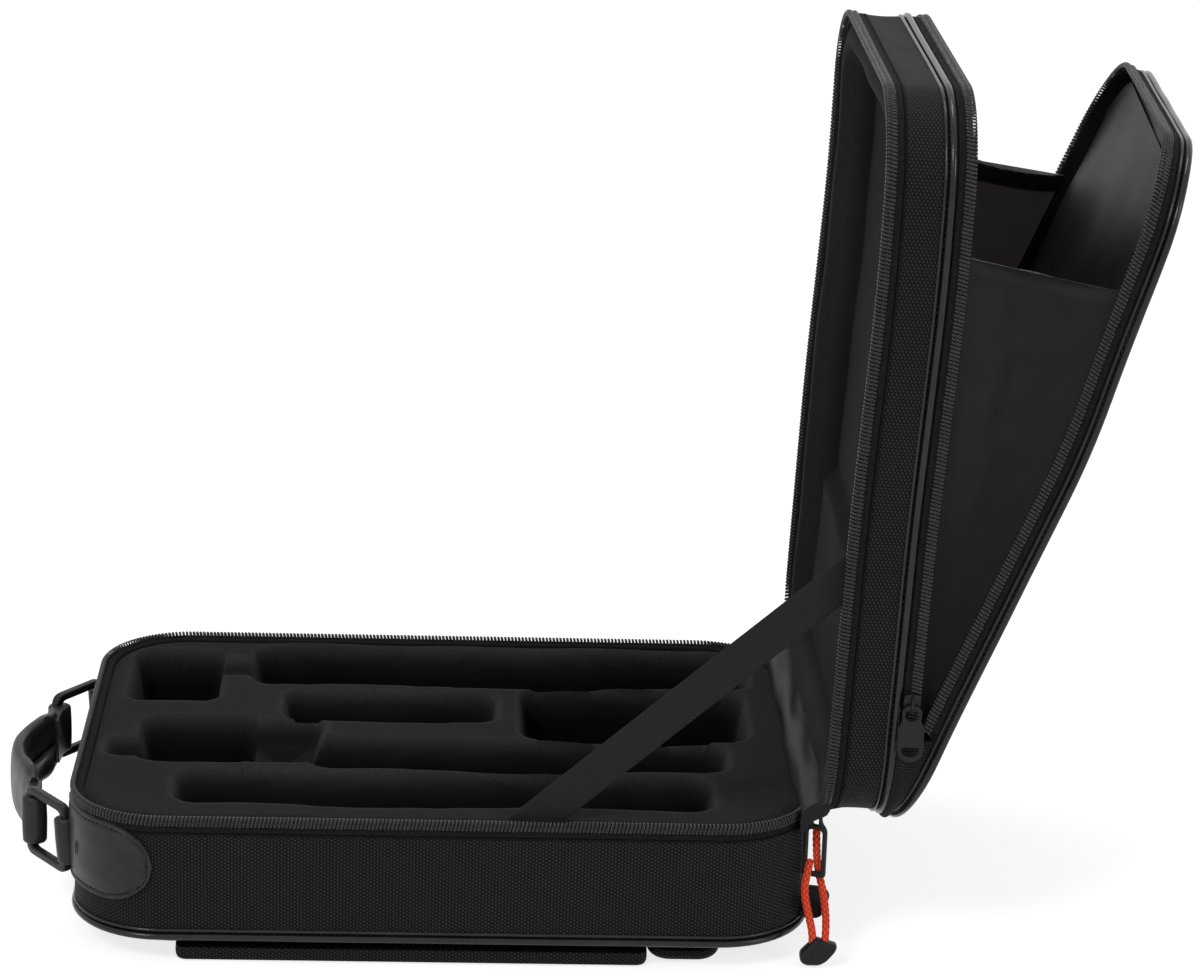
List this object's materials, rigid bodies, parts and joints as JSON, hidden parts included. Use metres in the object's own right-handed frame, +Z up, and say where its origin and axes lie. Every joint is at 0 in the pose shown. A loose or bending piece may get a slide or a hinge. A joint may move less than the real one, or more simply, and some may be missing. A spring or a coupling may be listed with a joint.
{
  "type": "instrument case",
  "caption": "Soft zipped backpack case on its back, with the lid and the lid's pocket open on a moulded plush insert",
  "frame": {"origin": "On the underside of the strap pocket that the case lies on, in the middle of the case's length and width.", "axes": "+X from the handle to the hinge, +Y from the near side to the far side, +Z up out of the open base."},
  "size_m": [0.6106, 0.2798, 0.4623],
  "materials": {
    "cloth": "woven",
    "core": "matte",
    "plush": "plush",
    "zip": "satin",
    "piping": "gloss",
    "lining": "satin",
    "webbing": "ribbed",
    "leather": "grained",
    "vinyl": "smooth",
    "metal": "satin",
    "cord": "braided"
  },
  "bodies": {
    "base": {"base_cloth": "cloth", "base_core": "core", "base_insert": "plush", "base_zip_chain": "zip", "base_piping": "piping", "back_pad": "cloth", "strap_pocket": "cloth", "harness_end": "cloth", "corner_patch_near": "leather", "corner_patch_far": "leather", "corner_rivet_near": "leather", "corner_rivet_far": "leather", "strap_loop_near": "webbing", "strap_loop_far": "webbing", "lid_stay_strap": "webbing", "hinge_spine": "cloth"},
    "lid": {"lid_cloth": "cloth", "lid_core": "core", "lid_insert": "plush", "lid_zip_chain": "zip", "lid_piping": "piping", "pocket_rim": "cloth", "pocket_zip_chain": "zip", "pocket_end_wall": "cloth", "gusset_near": "lining", "gusset_far": "lining"},
    "cover": {"cover_cloth": "cloth", "cover_lining": "lining", "cover_sleeve": "lining", "cover_piping": "piping", "cover_zip_chain": "zip", "cover_patch": "vinyl"},
    "ring_near": {"handle_ring_near": "metal"},
    "ring_far": {"handle_ring_far": "metal"},
    "grip": {"handle_grip": "leather", "handle_loop_near": "webbing", "handle_loop_far": "webbing"},
    "slider": {"main_slider": "metal"},
    "pull": {"main_pull_frame": "metal", "pull_cord": "cord", "cord_tab": "leather"},
    "pocket_runner": {"pocket_slider": "metal"},
    "pocket_pull": {"pocket_pull_tab": "metal"}
  },
  "joints": [
    {"name": "lid_hinge", "type": "hinge", "parent": "base", "child": "lid", "pos_m": [0.1911, 0, 0.07845], "axis": [0, -1, 0], "range_deg": [0, 92.1], "deforming": ["lid_stay_strap", "hinge_spine"]},
    {"name": "cover_hinge", "type": "hinge", "parent": "lid", "child": "cover", "pos_m": [0.24159, 0, 0.13314], "axis": [0, -1, 0], "range_deg": [0, 18.5], "deforming": ["gusset_near", "gusset_far"]},
    {"name": "grip_push", "type": "slide", "parent": "base", "child": "grip", "axis": [1, 0, 0], "range_m": [0, 0.0041]},
    {"name": "ring_near_swing", "type": "hinge", "parent": "base", "child": "ring_near", "pos_m": [-0.19646, -0.093, 0.05], "axis": [0, 0, -1], "range_deg": [0, 8.2]},
    {"name": "ring_far_swing", "type": "hinge", "parent": "base", "child": "ring_far", "pos_m": [-0.19646, 0.093, 0.05], "axis": [0, 0, 1], "range_deg": [0, 8.2]},
    {"name": "main_slider_run", "type": "hinge", "parent": "base", "child": "slider", "pos_m": [0.1445, -0.087, 0.0768], "axis": [0, 0, -1], "range_deg": [0, 60]},
    {"name": "main_pull_swing", "type": "hinge", "parent": "slider", "child": "pull", "pos_m": [0.19511, -0.10953, 0.0768], "axis": [-0.4067, -0.9135, 0], "range_deg": [0, 70]},
    {"name": "pocket_slider_run", "type": "slide", "parent": "lid", "child": "pocket_runner", "axis": [0.0366, 0, 0.9993], "range_m": [0, 0.24]},
    {"name": "pocket_pull_swing", "type": "hinge", "parent": "pocket_runner", "child": "pocket_pull", "pos_m": [0.23768, -0.139, 0.15219], "axis": [-1, 0, 0], "range_deg": [0, 95]}
  ],
  "couplings": [
    {"joint": "ring_near_swing", "follows": "grip_push", "rad_per_m": 34.095},
    {"joint": "ring_far_swing", "follows": "grip_push", "rad_per_m": 34.095}
  ]
}
